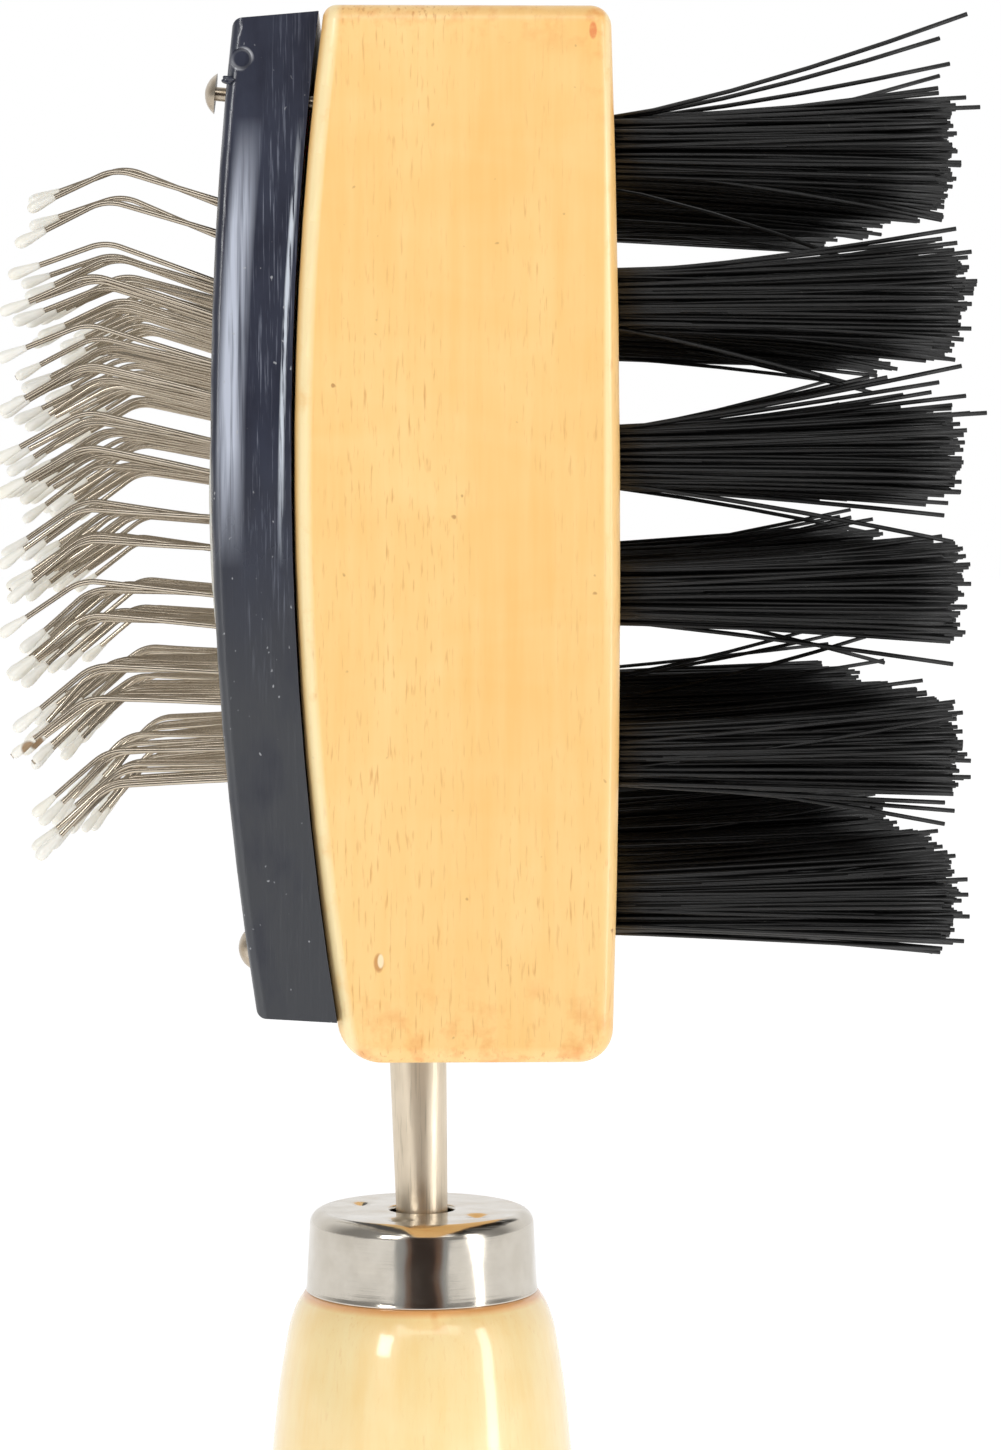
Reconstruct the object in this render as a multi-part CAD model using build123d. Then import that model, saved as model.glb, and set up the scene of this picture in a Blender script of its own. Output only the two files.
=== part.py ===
"""Two-sided grooming brush: a wood block on a steel neck with a turned handle.

One face carries rows of black bristle tufts, the other a cushion pad of bent wire pins
with dipped tips, held by a plastic frame that four dome-head nails fix to the block.

+Z runs up the handle to the head, +X is the bristle side, -X the pin side, and Y is the
head's width. The origin is the middle of the flat on the handle's butt. Millimetres.
"""
import math
import os

from build123d import *

# ---- handle, ferrule and neck -------------------------------------------------------
handle_length = 104.0          # butt to the ferrule's lower lip
butt_flat_radius = 4.0
# (distance below the ferrule's lip, radius): shoulder, belly, waist, palm swell
handle_stations = [
    (0.0, 7.9), (1.5, 8.62), (4.2, 9.2), (10.6, 10.0), (24.0, 10.8), (54.0, 9.1), (86.0, 10.6),
]
tenon_clearance = 0.05

ferrule_height = 5.45
ferrule_top_radius = 7.48
ferrule_lip_radius = 7.74
ferrule_wall = 0.45
ferrule_edge_radius = 0.9
ferrule_hole_radius = 2.1

neck_gap = 15.05               # bare neck between the ferrule and the block
neck_handle_radius = 1.72
neck_head_radius = 1.98
neck_offset = 0.35             # the neck leans this far to the pin side at the block
neck_in_handle = 38.0
neck_in_head = 24.0

# ---- wood block ---------------------------------------------------------------------
block_height = 60.7
block_width = 80.0
pin_face_x = 7.6               # crown of the pin face, measured from the handle's axis
pin_face_radius = 203.0
pin_face_crown_z = 3.3         # the crown sits this far above the block's middle
bristle_face_x = 11.15
bristle_face_radius = 900.0
bristle_face_crown_z = -2.5
# corner radii of the block's outline: bottom pin, top pin, top bristle, bottom bristle
block_corner_radii = [2.6, 0.8, 1.2, 2.0]
block_edge_radius = 1.0

# ---- bristle tufts ------------------------------------------------------------------
tuft_rows_z = [22.6, 13.8, 4.6, -3.4, -12.8, -21.5]    # from the block's middle
tuft_columns = 9
tuft_pitch = 8.8
tuft_hole_radius = 1.9
tuft_hole_depth = 8.4
tuft_base_radius = 1.85
tuft_tip_radius = 3.1
tuft_tip_x = 31.4
anchor_size = (0.35, 3.2, 1.6)                         # flat wire across the hole's floor
anchor_seat = 0.6

# ---- pad frame, all in the seat's own axes ------------------------------------------
frame_raise = 0.2              # the frame's middle above the block's
frame_skew = 1.2               # degrees: the frame was nailed on with its -Y end high
seat_gap = 0.15
frame_width = 79.4
frame_back_half = 28.95
frame_front_half = 28.6
frame_depth = 4.75
frame_front_radius = 212.0
frame_front_crown_z = 1.2
frame_edge_radius = 0.6
lip_depth = 1.2
gate_mark = (26.3, 0.72, 0.6, 0.18)    # on the -Y side: height, set-back, radius, depth
window = (69.8, 48.4, 4.0)     # width, height, corner radius
cavity = (73.8, 52.4, 6.0)
part_clearance = 0.1

# ---- cushion pad --------------------------------------------------------------------
pad_crown = 5.5                # crown of the pad in front of the block's pin face
pad_radius = 78.0
pad_skin = 1.3
backing_thickness = 0.4
crown_slack = 0.15             # a leaning staple's crown needs this much behind the backing
pocket = (66.8, 45.4, 3.0)

# ---- pins ---------------------------------------------------------------------------
wire_radius = 0.165
pin_rows = 8
pin_row_pitch = 4.56
pin_columns = 14
pin_column_pitch = 5.0
pin_field_z = 1.7              # the field sits this far above the frame's middle
top_row_columns = 2            # the top row holds only this many, at the -Y end
pin_spread = 1.8               # between the two legs of one staple
pin_straight = 7.3             # pad to knee
pin_hook = 5.7                 # knee to the wire's end
pin_knee_angle = 42.0
pin_lean = 8.4
knee_radius = 2.6
crown_corner_radius = 0.25
pin_hole_radius = 0.19
tip_radius = 0.36
tip_length = 1.9
tip_cover = 0.2                # coating past the wire's end

# ---- nails --------------------------------------------------------------------------
nail_y = 36.3
nail_top_z = 24.6
nail_bottom_z = -24.9
nail_head_radius = 1.17
nail_head_height = 0.62
nail_shank_radius = 0.4
nail_length = 9.0
nail_point = 1.0
raised_nail_gap = 0.7          # one nail was never driven home
nail_hole_radius = 0.42

ferrule_base_z = handle_length
ferrule_top_z = ferrule_base_z + ferrule_height
block_base_z = ferrule_top_z + neck_gap
block_middle_z = block_base_z + block_height / 2
crown_depth = pad_skin + backing_thickness + crown_corner_radius + crown_slack


def bulge(height, radius):
    """How far a face of this radius falls back from its crown at a height from it."""
    return radius - math.sqrt(radius**2 - height**2)


def rounded_prism(plan, x_low, x_high):
    """A plan of width, height and corner radius, carried along X."""
    width, height, corner = plan
    outline = Plane.YZ.offset(x_low) * RectangleRounded(width, height, corner)
    return extrude(outline, x_high - x_low)


def slab(profile, width):
    """A closed profile in the XZ plane, carried along Y about the middle."""
    return extrude(Plane.XZ.offset(-width / 2) * make_face(profile), width)


# ---- the seat: the place on the block's pin face where the frame assembly sits ------
seat_tilt = math.degrees(math.asin(pin_face_crown_z / pin_face_radius))
seat_x = -pin_face_x + bulge(pin_face_crown_z, pin_face_radius)
seat = Location((seat_x, 0, block_middle_z + frame_raise), (-frame_skew, -seat_tilt, 0))


def face_arc(offset, half):
    """Three points of an arc in the seat's axes, that far in front of the block's face."""
    return [(-offset + bulge(side * half, pin_face_radius), side * half) for side in (-1, 0, 1)]


def face_to_face(rising, falling):
    """A closed profile between an arc run upwards and an arc run downwards."""
    return (
        ThreePointArc(*rising)
        + Line(rising[2], falling[0])
        + ThreePointArc(*falling)
        + Line(falling[2], rising[0])
    )


def make_handle():
    """Turned wood: a tenon for the ferrule, a belly, a waist and a rounded butt."""
    tenon_radius = ferrule_top_radius - ferrule_wall - tenon_clearance
    tenon_top = ferrule_top_z - ferrule_wall - tenon_clearance
    side = [(radius, handle_length - below) for below, radius in handle_stations]
    swell = side[-1]
    outline = (
        Line((0, tenon_top), (tenon_radius, tenon_top))
        + Line((tenon_radius, tenon_top), (tenon_radius, handle_length))
        + Line((tenon_radius, handle_length), side[0])
        + Spline(*side[:5], tangents=[(0.35, -1), (0, -1)])
        + Spline(*side[4:], tangents=[(0, -1), (0, -1)])
        + Spline(swell, (butt_flat_radius + 3.6, 4.0), (butt_flat_radius, 0),
                 tangents=[(0, -1), (-1, -0.12)])
        + Line((butt_flat_radius, 0), (0, 0))
        + Line((0, 0), (0, tenon_top))
    )
    body = revolve(Plane.XZ * make_face(outline), Axis.Z)
    socket = Pos(0, 0, tenon_top - neck_in_handle / 2) * Cylinder(
        neck_handle_radius, neck_in_handle
    )
    return body - socket


def make_ferrule():
    """A drawn cup with a flat top, pressed over the tenon."""
    top, base = ferrule_top_z, ferrule_base_z
    cup = Pos(0, 0, (top + base) / 2) * Cone(ferrule_lip_radius, ferrule_top_radius, top - base)
    cup = fillet(cup.edges().sort_by(Axis.Z)[-1], ferrule_edge_radius)
    bore_radius = ferrule_top_radius - ferrule_wall
    bore = Pos(0, 0, base + (ferrule_height - ferrule_wall) / 2) * Cylinder(
        bore_radius, ferrule_height - ferrule_wall
    )
    mouth = Pos(0, 0, top) * Cylinder(ferrule_hole_radius, 4 * ferrule_wall)
    return cup - bore - mouth


def make_neck():
    """A steel rod: straight in the handle, swelling and leaning slightly to the head."""
    tang_top = ferrule_top_z - ferrule_wall - tenon_clearance
    tang_base = tang_top - neck_in_handle
    spike_top = block_base_z + neck_in_head
    tang = Pos(0, 0, (tang_top + tang_base) / 2) * Cylinder(neck_handle_radius, neck_in_handle)
    lower = Plane.XY.offset(tang_top) * Circle(neck_handle_radius)
    upper = Plane.XY.offset(block_base_z) * Pos(-neck_offset, 0) * Circle(neck_head_radius)
    bare = loft([lower, upper])
    spike = Pos(-neck_offset, 0, (block_base_z + spike_top) / 2) * Cylinder(
        neck_head_radius, neck_in_head
    )
    return tang + bare + spike


def tuft_places(row_z):
    """Where each tuft of a row stands on the block's bristle face."""
    height = row_z - bristle_face_crown_z
    x = bristle_face_x - bulge(height, bristle_face_radius)
    first = -(tuft_columns - 1) / 2 * tuft_pitch
    return [(x, first + i * tuft_pitch, block_middle_z + row_z) for i in range(tuft_columns)]


def nail_places():
    """Each nail in the seat's axes: y, z, and how far its head stands off the frame."""
    places = []
    for y in (-nail_y, nail_y):
        for z in (nail_top_z, nail_bottom_z):
            raised = y < 0 and z > 0
            places.append((y, z, raised_nail_gap if raised else 0.0))
    return places


def frame_front_x(z):
    return -frame_depth + bulge(z - frame_front_crown_z, frame_front_radius)


def nail_axis(y, z):
    """A location whose Z axis points out of the frame's front face at that nail."""
    lean = math.degrees(math.asin((z - frame_front_crown_z) / frame_front_radius))
    return Location((frame_front_x(z), y, z), (0, -90 + lean, 0))


def make_block():
    """Solid wood, crowned on both faces, bored for the tufts, the neck and the nails."""
    half = block_height / 2
    pin_face = [
        (-pin_face_x + bulge(z - pin_face_crown_z, pin_face_radius), z) for z in (-half, 0, half)
    ]
    bristle_face = [
        (bristle_face_x - bulge(z - bristle_face_crown_z, bristle_face_radius), z)
        for z in (half, 0, -half)
    ]
    block = slab(face_to_face(pin_face, bristle_face), block_width)
    corners = [(pin_face[0], 0), (pin_face[2], 1), (bristle_face[0], 2), (bristle_face[2], 3)]
    for (x, z), number in corners:
        edge = block.edges().filter_by(Axis.Y).sort_by_distance((x, 0, z))[0]
        block = fillet(edge, block_corner_radii[number])
    ends = block.faces().filter_by(Axis.Y)
    block = Pos(0, 0, block_middle_z) * fillet(ends.edges(), block_edge_radius)
    holes = []
    for row_z in tuft_rows_z:
        for x, y, z in tuft_places(row_z):
            floor = x - tuft_hole_depth
            holes.append(
                Pos(floor + 5, y, z) * Rot(0, 90, 0) * Cylinder(tuft_hole_radius, 10)
            )
    holes.append(
        Pos(-neck_offset, 0, block_base_z + neck_in_head / 2)
        * Cylinder(neck_head_radius, neck_in_head)
    )
    for y, z, raised in nail_places():
        reach = 2 * nail_length
        holes.append(
            seat * nail_axis(y, z) * Pos(0, 0, -nail_length / 2) * Cylinder(nail_hole_radius, reach)
        )
    return block - holes


def make_frame():
    """Moulded plastic: a picture frame with a lip over the pad and solid nailing corners."""
    back = face_arc(seat_gap, frame_back_half)
    front = [(frame_front_x(z), z) for z in (frame_front_half, 0, -frame_front_half)]
    body = slab(face_to_face(back, front), frame_width)
    far = 3 * frame_depth
    outer = body.faces().sort_by(Axis.X)[0]
    body = fillet(outer.edges(), frame_edge_radius)
    lip_back = Pos(lip_depth, 0, 0) * front_half_space()
    body = body - rounded_prism(window, -far, far)
    body = body - (rounded_prism(cavity, -far, far) & lip_back)
    holes = [
        nail_axis(y, z) * Pos(0, 0, -nail_length / 2) * Cylinder(nail_hole_radius, 2 * nail_length)
        for y, z, raised in nail_places()
    ]
    height, set_back, radius, depth = gate_mark
    spot = (frame_front_x(height) + set_back, -frame_width / 2, height)
    holes.append(Pos(*spot) * Rot(90, 0, 0) * Cylinder(radius, 2 * depth))
    return seat * (body - holes)


def front_half_space():
    """Everything behind the frame's front face, as a thick slab."""
    reach = 2 * frame_back_half
    front = [(frame_front_x(z), z) for z in (-reach / 2, 0, reach / 2)]
    depth = 20.0
    back = [(x + depth, z) for x, z in reversed(front)]
    return slab(face_to_face(front, back), 2 * frame_width)


def block_half_space(gap):
    """Everything in front of the block's pin face, less a gap, as a thick slab."""
    reach = frame_back_half
    back = face_arc(gap, reach)
    depth = 20.0
    front = [(x - depth, z) for x, z in reversed(back)]
    return slab(face_to_face(back, front), 2 * frame_width)


def crowned_space(setback):
    """Everything behind the pad's crowned surface, moved back by that much."""
    half = 30.0
    front = [(bulge(z, pad_radius) - pad_crown + setback, z) for z in (half, 0, -half)]
    depth = 20.0
    back = [(x + depth, z) for x, z in reversed(front)]
    return slab(face_to_face(back, front), 2 * frame_width)


def staple_places(row):
    """A location for each staple of a row, on the pad, its -X axis pointing out."""
    z = pin_field_z + (row - (pin_rows - 1) / 2) * pin_row_pitch
    x = bulge(z, pad_radius) - pad_crown
    slope = math.degrees(math.asin(z / pad_radius))
    first = -(pin_columns - 1) / 2 * pin_column_pitch
    columns = top_row_columns if row == pin_rows - 1 else pin_columns
    turn = (0, slope + pin_lean, 0)
    return [Location((x, first + i * pin_column_pitch, z), turn) for i in range(columns)]


def pierced(layer):
    """A layer of the pad with a hole for every leg of every staple."""
    reach = 4.0
    leg = Rot(0, 90, 0) * Cylinder(pin_hole_radius, 2 * reach)
    places = [place for row in range(pin_rows) for place in staple_places(row)]
    holes = [
        place * Pos(1, 0, side * pin_spread / 2) * leg for place in places for side in (-1, 1)
    ]
    return layer.solids()[0].cut(*holes)


def make_pad():
    """The ivory cushion: a crowned dome through the window and a skirt under the lip."""
    far = 3 * frame_depth
    shrink = 2 * part_clearance
    window_plan = (window[0] - shrink, window[1] - shrink, window[2])
    cavity_plan = (cavity[0] - shrink, cavity[1] - shrink, cavity[2])
    dome = rounded_prism(window_plan, -far, far) & crowned_space(0)
    lip_back = Pos(lip_depth + part_clearance, 0, 0) * front_half_space()
    skirt = rounded_prism(cavity_plan, -far, far) & lip_back
    body = (dome + skirt) & block_half_space(seat_gap)
    body = body - (rounded_prism(pocket, -far, far) & crowned_space(pad_skin))
    return seat * pierced(body)


def make_backing():
    """A woven backing glued inside the dome, pierced by every staple."""
    far = 3 * frame_depth
    shrink = 2 * part_clearance
    plan = (pocket[0] - shrink, pocket[1] - shrink, pocket[2])
    layer = rounded_prism(plan, -far, far) & crowned_space(pad_skin)
    layer = layer - crowned_space(pad_skin + backing_thickness)
    return seat * pierced(layer)


def make_foam():
    """The foam core that the staples' crowns press against."""
    far = 3 * frame_depth
    shrink = 2 * part_clearance
    plan = (pocket[0] - shrink, pocket[1] - shrink, pocket[2])
    front = crown_depth + wire_radius + crown_slack
    core = rounded_prism(plan, -far, far) & crowned_space(front)
    return seat * (core & block_half_space(seat_gap))


def make_staple():
    """One bent wire: two hooked legs and the crown that joins them behind the backing."""
    drop = math.radians(pin_knee_angle)
    hook_x, hook_z = pin_hook * math.cos(drop), pin_hook * math.sin(drop)

    def leg(z):
        return [(-pin_straight - hook_x, z - hook_z), (-pin_straight, z), (crown_depth, z)]

    points = leg(-pin_spread / 2) + list(reversed(leg(pin_spread / 2)))
    radii = [knee_radius, crown_corner_radius, crown_corner_radius, knee_radius]
    path = Plane.XZ * FilletPolyline(*points, radius=radii)
    section = Plane(origin=path @ 0, z_dir=path % 0) * Circle(wire_radius)
    return sweep(section, path)


def make_tip():
    """A dipped drop of enamel, bored for the wire, its bore's mouth at the origin."""
    length = tip_length
    bore = length - tip_cover
    outline = (
        Line((wire_radius, 0), (wire_radius, bore))
        + Line((wire_radius, bore), (0, bore))
        + Line((0, bore), (0, length))
        + Spline((0, length), (tip_radius, length - 0.5), (wire_radius + 0.03, 0),
                 tangents=[(1, 0), (-0.1, -1)])
        + Line((wire_radius + 0.03, 0), (wire_radius, 0))
    )
    return revolve(Plane.XZ * make_face(outline), Axis.Z)


def tip_places(place):
    """Where a staple's two drops sit, the drop's Z axis along its hook."""
    drop = math.radians(pin_knee_angle)
    reach = pin_hook - (tip_length - tip_cover)
    x = -pin_straight - reach * math.cos(drop)
    places = []
    for side in (-1, 1):
        z = side * pin_spread / 2 - reach * math.sin(drop)
        places.append(place * Pos(x, 0, z) * Rot(0, -90 - pin_knee_angle, 0))
    return places


def make_tuft():
    """A plug of bristle that flares past the block, its root at the origin, along +X."""
    free = tuft_tip_x - bristle_face_x
    outline = Polyline(
        (0, -tuft_hole_depth + anchor_seat), (tuft_base_radius, -tuft_hole_depth + anchor_seat),
        (tuft_base_radius, 0), (tuft_tip_radius, free), (0, free), close=True,
    )
    return Rot(0, 90, 0) * revolve(Plane.XZ * make_face(outline), Axis.Z)


def make_nail():
    """A dome-head nail, the underside of its head at the origin, its point along -Z."""
    dome_radius = (nail_head_radius**2 + nail_head_height**2) / (2 * nail_head_height)
    rise = math.sqrt(dome_radius**2 - (nail_head_radius / 2) ** 2)
    middle = (nail_head_radius / 2, nail_head_height - dome_radius + rise)
    outline = (
        ThreePointArc((0, nail_head_height), middle, (nail_head_radius, 0))
        + Polyline(
            (nail_head_radius, 0), (nail_shank_radius, 0),
            (nail_shank_radius, -nail_length + nail_point), (0, -nail_length),
        )
        + Line((0, -nail_length), (0, nail_head_height))
    )
    return revolve(Plane.XZ * make_face(outline), Axis.Z)


def write(node, solids):
    """Write one node, as one solid or as a group of separate solids."""
    solids = list(solids)
    shape = solids[0] if len(solids) == 1 else Compound(children=solids)
    export_step(shape, f"parts/{node}.step")


os.makedirs("parts", exist_ok=True)

write("handle", [make_handle()])
write("ferrule", [make_ferrule()])
write("neck_rod", [make_neck()])
write("head_block", [make_block()])
write("pad_frame", [make_frame()])
write("cushion_pad", [make_pad()])
write("pad_backing", [make_backing()])
write("foam_core", [make_foam()])

nail = make_nail()
write("frame_nails", [
    (seat * nail_axis(y, z) * Pos(0, 0, raised)) * nail for y, z, raised in nail_places()
])

tuft = make_tuft()
anchor = Box(*anchor_size)
for number, row_z in enumerate(tuft_rows_z, start=1):
    places = tuft_places(row_z)
    floor = anchor_seat / 2 - tuft_hole_depth
    write(f"bristle_row_{number}", [Pos(*place) * tuft for place in places])
    write(f"tuft_anchors_{number}", [Pos(x + floor, y, z) * anchor for x, y, z in places])

staple = make_staple()
tip = make_tip()
for row in range(pin_rows):
    places = [seat * place for place in staple_places(row)]
    number = pin_rows - row
    write(f"pin_row_{number}", [place * staple for place in places])
    write(f"pin_tips_{number}", [spot * tip for place in places for spot in tip_places(place)])
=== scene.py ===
"""A two-sided grooming brush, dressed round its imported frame.

The head is a wood block with nylon tufts on its +X face and a framed cushion of hooked wire pins
on its -X face. Under it come a steel neck, a plated ferrule and a turned handle, which runs
along Z. Sizes are in metres, and mm turns millimetres into them.

Surfaces are grids of points worked out as whole arrays. A turned piece is
    x = r(t) cos a,  y = r(t) sin a,  z = h(t)
and a wire, a filament or a drop is a ring of radius r(s) carried along a path p(s):
    p(s) + r(s) (cos a u + sin a v),  with u and v square to the path.
"""
import math

import bpy
import numpy as np
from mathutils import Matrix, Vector


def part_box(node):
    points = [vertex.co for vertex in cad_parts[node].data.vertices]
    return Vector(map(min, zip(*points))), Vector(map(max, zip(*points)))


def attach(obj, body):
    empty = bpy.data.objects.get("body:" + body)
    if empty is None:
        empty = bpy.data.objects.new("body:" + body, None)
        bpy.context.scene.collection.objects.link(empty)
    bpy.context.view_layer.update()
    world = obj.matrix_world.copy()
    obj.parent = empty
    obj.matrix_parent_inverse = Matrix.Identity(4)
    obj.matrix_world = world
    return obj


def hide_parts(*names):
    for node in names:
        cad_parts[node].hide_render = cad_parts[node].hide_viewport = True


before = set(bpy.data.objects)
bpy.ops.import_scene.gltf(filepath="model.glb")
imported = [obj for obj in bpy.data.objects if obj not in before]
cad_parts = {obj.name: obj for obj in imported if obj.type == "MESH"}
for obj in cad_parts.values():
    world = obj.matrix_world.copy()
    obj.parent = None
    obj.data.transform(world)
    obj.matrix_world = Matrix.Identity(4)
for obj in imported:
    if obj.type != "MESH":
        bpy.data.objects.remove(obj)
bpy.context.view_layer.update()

mm = 0.001


# ---- camera ---------------------------------------------------------------------------------
# Stands off the near end of the head and a little above its middle, and looks along the head's
# width, turned slightly down and towards the bristles. The lens is a long portrait one.
block_low, block_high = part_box("head_block")
eye = Vector((-2.3 * mm, block_low.y - 254.3 * mm, block_low.z + 34.35 * mm))
look_down = math.radians(3.317)
look_right = math.radians(1.471)

camera_data = bpy.data.cameras.new("camera")
camera_data.sensor_fit = "VERTICAL"
camera_data.sensor_height = 36.0
camera_data.lens = 110.23
camera_data.clip_start = 10 * mm
camera_data.clip_end = 20.0
camera = bpy.data.objects.new("camera", camera_data)
camera.location = eye
camera.rotation_euler = (math.pi / 2 - look_down, 0.0, -look_right)
bpy.context.scene.collection.objects.link(camera)
bpy.context.scene.camera = camera
bpy.context.scene.view_settings.view_transform = "Standard"


# ---- studio ---------------------------------------------------------------------------------
# A white floor in a dim room with a bright far side, and three soft lights, left, right and
# overhead. Three panels behind the camera, dark before brown before slate, show only in
# reflections, and give the bright metal its dark middle.
middle = (block_low + block_high) / 2
floor_reach, floor_z, floor_glow = 6.0, -0.1 * mm, 0.6
room_light, sweep_light = 0.32, 1.0
sweep_start, sweep_full = 0.0, 0.6
light_distance = 0.6


def softbox(name, turn, lift, width, height, watts):
    """A rectangular light aimed at the head: turn degrees right of the camera, lift above it."""
    data = bpy.data.lights.new(name, "AREA")
    data.shape = "RECTANGLE"
    data.size = width
    data.size_y = height
    data.energy = watts
    light = bpy.data.objects.new(name, data)
    turn, lift = math.radians(turn), math.radians(lift)
    level = light_distance * math.cos(lift)
    rise = light_distance * math.sin(lift)
    light.location = middle + Vector((level * math.sin(turn), -level * math.cos(turn), rise))
    light.rotation_euler = (middle - light.location).to_track_quat("-Z", "Y").to_euler()
    bpy.context.scene.collection.objects.link(light)


def studio_panel(name, corners, colour, glow):
    """One flat four-cornered sheet of the studio, matt, with some glow of its own."""
    material = bpy.data.materials.new(name)
    material.use_nodes = True
    shader = material.node_tree.nodes["Principled BSDF"]
    shader.inputs["Base Color"].default_value = colour
    shader.inputs["Roughness"].default_value = 1.0
    shader.inputs["Emission Color"].default_value = (1.0, 1.0, 1.0, 1.0)
    shader.inputs["Emission Strength"].default_value = glow
    mesh = bpy.data.meshes.new(name)
    mesh.from_pydata(corners, [], [(0, 1, 2, 3)])
    mesh.materials.append(material)
    panel = bpy.data.objects.new(name, mesh)
    bpy.context.scene.collection.objects.link(panel)
    return panel


square = ((-1, -1), (1, -1), (1, 1), (-1, 1))
floor_corners = [(x * floor_reach, y * floor_reach, floor_z) for x, y in square]
studio_panel("floor", floor_corners, (0.78, 0.78, 0.78, 1.0), floor_glow)

panel_y, panel_top, panel_gap = -0.36, 0.27, 2 * mm
for name, half, colour in (
    ("dark_panel", 0.085, (0.03, 0.018, 0.014, 1.0)),
    ("brown_panel", 0.13, (0.16, 0.09, 0.06, 1.0)),
    ("slate_panel", 0.19, (0.34, 0.36, 0.38, 1.0)),
):
    panel_y -= panel_gap
    outline = ((-half, 0), (half, 0), (half, panel_top), (-half, panel_top))
    corners = [(x, panel_y, z) for x, z in outline]
    studio_panel(name, corners, colour, 0.0).visible_camera = False

softbox("left_key", -33, 14, 0.13, 0.2, 0.9)
softbox("right_strip", 56, 2, 0.1, 0.5, 1.15)
softbox("brow", 6, 36, 0.6, 0.2, 0.95)


def light_room():
    """The world: plain white to the camera, and a dim room with a bright far side to light."""
    world = bpy.data.worlds.new("studio_room")
    world.use_nodes = True
    tree = world.node_tree
    place = tree.nodes.new("ShaderNodeTexCoord")
    split = tree.nodes.new("ShaderNodeSeparateXYZ")
    sweep = tree.nodes.new("ShaderNodeMapRange")
    ray = tree.nodes.new("ShaderNodeLightPath")
    pick = tree.nodes.new("ShaderNodeMix")
    for socket, value in (
        ("From Min", sweep_start), ("From Max", sweep_full),
        ("To Min", room_light), ("To Max", sweep_light),
    ):
        sweep.inputs[socket].default_value = value
    pick.inputs["B"].default_value = 1.0
    tree.links.new(place.outputs["Generated"], split.inputs[0])
    tree.links.new(split.outputs["Y"], sweep.inputs["Value"])
    tree.links.new(ray.outputs["Is Camera Ray"], pick.inputs["Factor"])
    tree.links.new(sweep.outputs["Result"], pick.inputs["A"])
    tree.links.new(pick.outputs["Result"], tree.nodes["Background"].inputs["Strength"])
    tree.nodes["Background"].inputs["Color"].default_value = (1.0, 1.0, 1.0, 1.0)
    bpy.context.scene.world = world


light_room()


# ---- head block -----------------------------------------------------------------------------
# Solid pale wood, planed to a crown on both faces, its edges broken with a sander, then dipped
# in a satin lacquer, which has stained orange at the corners. The grain runs up and down, as
# short dark flecks with a faint figure across them.
block_crown = 203 * mm


def paint(red, green, blue):
    """A screen colour from 0 to 255, as the linear colour that shaders take."""
    channels = np.array([red, green, blue]) / 255.0
    linear = np.where(channels < 0.04045, channels / 12.92, ((channels + 0.055) / 1.055) ** 2.4)
    return (*linear.tolist(), 1.0)


class Signal:
    """One output of a shader node. Sums and products of signals add Math nodes."""

    def __init__(self, finish, socket):
        self.finish = finish
        self.socket = socket

    def math(self, operation, *values):
        return self.finish.node("Math", {"operation": operation}, dict(enumerate(values)))

    def __add__(self, other):
        return self.math("ADD", self, other)

    def __sub__(self, other):
        return self.math("SUBTRACT", self, other)

    def __rsub__(self, other):
        return self.math("SUBTRACT", other, self)

    def __mul__(self, other):
        return self.math("MULTIPLY", self, other)

    def __abs__(self):
        return self.math("ABSOLUTE", self)

    __radd__ = __add__
    __rmul__ = __mul__


class Finish:
    """A material in the making: its main shader, and the nodes that feed it."""

    def __init__(self, name, **fixed):
        self.material = bpy.data.materials.new(name)
        self.material.use_nodes = True
        self.tree = self.material.node_tree
        self.shader = self.tree.nodes["Principled BSDF"]
        for socket, value in fixed.items():
            self.shader.inputs[socket.replace("_", " ")].default_value = value

    def node(self, kind, settings=None, inputs=None, output=0):
        """Adds a node, sets it, feeds its sockets, and returns one output."""
        new = self.tree.nodes.new("ShaderNode" + kind)
        for key, value in (settings or {}).items():
            setattr(new, key, value)
        for key, value in (inputs or {}).items():
            if isinstance(value, Signal):
                self.tree.links.new(value.socket, new.inputs[key])
            else:
                new.inputs[key].default_value = value
        return Signal(self, new.outputs[output])

    def place(self, stretch=(1.0, 1.0, 1.0), shift=(0.0, 0.0, 0.0)):
        """Object coordinates in millimetres, stretched and shifted."""
        here = self.node("TexCoord", output=3)
        scale = tuple(s / mm for s in stretch)
        return self.node("Mapping", None, {"Vector": here, "Location": shift, "Scale": scale})

    def axis(self, number):
        """One Object coordinate, in millimetres."""
        split = self.node("SeparateXYZ", None, {0: self.node("TexCoord", output=3)}, number)
        return split * (1 / mm)

    def spot(self, x, z, half_x, half_z):
        """1 at a place in the XZ plane, and 0 from that far away in each direction."""
        across = (self.axis(0) - x) * (1 / half_x)
        up = (self.axis(2) - z) * (1 / half_z)
        return self.rise(across * across + up * up, 1.0, 0.5)

    def noise(self, vector, scale, detail=3.0, rough=0.5, warp=0.0):
        inputs = {
            "Vector": vector, "Scale": scale, "Detail": detail, "Roughness": rough,
            "Distortion": warp,
        }
        return self.node("TexNoise", None, inputs)

    def rise(self, signal, low, high):
        """0 below low, 1 above high, and an even slope between."""
        inputs = {"Value": signal, "From Min": low, "From Max": high}
        return self.node("MapRange", {"clamp": True}, inputs)

    def mix(self, factor, first, second):
        """A colour between two others."""
        return self.node("Mix", {"data_type": "RGBA"}, {0: factor, 6: first, 7: second}, 2)

    def feed(self, socket, signal):
        self.tree.links.new(signal.socket, self.shader.inputs[socket])

    def bump(self, height, strength, depth):
        """Relief of that depth, in metres, on the main shader."""
        inputs = {"Height": height, "Strength": strength, "Distance": depth}
        self.feed("Normal", self.node("Bump", None, inputs))


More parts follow.
